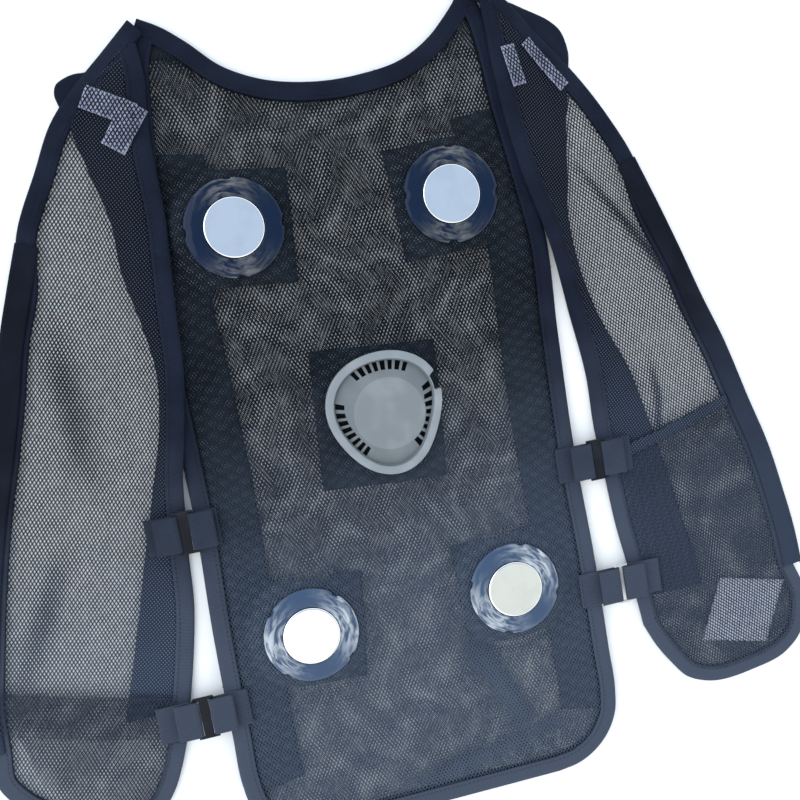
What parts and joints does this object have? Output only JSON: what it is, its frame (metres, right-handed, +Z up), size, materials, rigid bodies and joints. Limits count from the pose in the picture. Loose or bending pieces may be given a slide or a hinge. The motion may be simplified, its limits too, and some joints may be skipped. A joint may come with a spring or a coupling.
{
  "type": "cooling vest",
  "caption": "Open mesh work vest laid flat, its back carrying mirror cold plates in clear rings round a grey fan cover, with bound edges, pockets and side straps.",
  "frame": {"origin": "on the floor under the middle of the laid-out vest", "axes": "+X to the vest's right front as it lies, +Y to the neck, +Z up from the floor to the inner face"},
  "size_m": [0.649, 0.61, 0.0181],
  "materials": {
    "back_mesh": "black warp-knitted mesh, matt",
    "front_mesh": "black warp-knitted mesh, single layer",
    "dense_mesh": "navy black dense mesh",
    "binding_tape": "navy black folded tape, ribbed",
    "webbing": "navy black ribbed webbing",
    "label_cloth": "pale grey woven cloth, bare",
    "black_plastic": "black moulded plastic",
    "grey_plastic": "grey moulded plastic",
    "clear_plastic": "smoky clear plastic, glossy",
    "mirror_plate": "polished aluminium",
    "steel": "silver plated steel"
  },
  "bodies": {
    "root": {"back_outer": "back_mesh", "back_inner": "back_mesh", "back_band_left": "dense_mesh", "front_panel_left": "front_mesh", "front_facing_left": "dense_mesh", "front_binding_left": "binding_tape", "armhole_binding_left": "binding_tape", "front_tape_left": "webbing", "pocket_left": "front_mesh", "pocket_hem_left": "binding_tape", "shoulder_patch_left": "label_cloth", "back_band_right": "dense_mesh", "front_panel_right": "front_mesh", "front_facing_right": "dense_mesh", "front_binding_right": "binding_tape", "armhole_binding_right": "binding_tape", "front_tape_right": "webbing", "pocket_right": "front_mesh", "pocket_hem_right": "binding_tape", "shoulder_patch_right": "label_cloth", "neck_binding": "binding_tape", "back_binding": "binding_tape", "fan_patch": "dense_mesh", "label_patch": "label_cloth", "fan_housing": "black_plastic", "fan_cover": "grey_plastic", "module_patch_top_left": "dense_mesh", "module_housing_top_left": "black_plastic", "module_ring_top_left": "clear_plastic", "cold_plate_top_left": "mirror_plate", "module_patch_top_right": "dense_mesh", "module_housing_top_right": "black_plastic", "module_ring_top_right": "clear_plastic", "cold_plate_top_right": "mirror_plate", "module_patch_bottom_left": "dense_mesh", "module_housing_bottom_left": "black_plastic", "module_ring_bottom_left": "clear_plastic", "cold_plate_bottom_left": "mirror_plate", "module_patch_bottom_right": "dense_mesh", "module_housing_bottom_right": "black_plastic", "module_ring_bottom_right": "clear_plastic", "cold_plate_bottom_right": "mirror_plate", "buckle_right_upper": "black_plastic", "back_tab_right_upper": "webbing", "front_strap_right_upper": "webbing", "buckle_right_lower": "steel", "back_tab_right_lower": "webbing", "front_strap_right_lower": "webbing", "buckle_left_upper": "black_plastic", "back_tab_left_upper": "webbing", "front_strap_left_upper": "webbing", "buckle_left_lower": "black_plastic", "back_tab_left_lower": "webbing", "front_strap_left_lower": "webbing"}
  },
  "joints": []
}
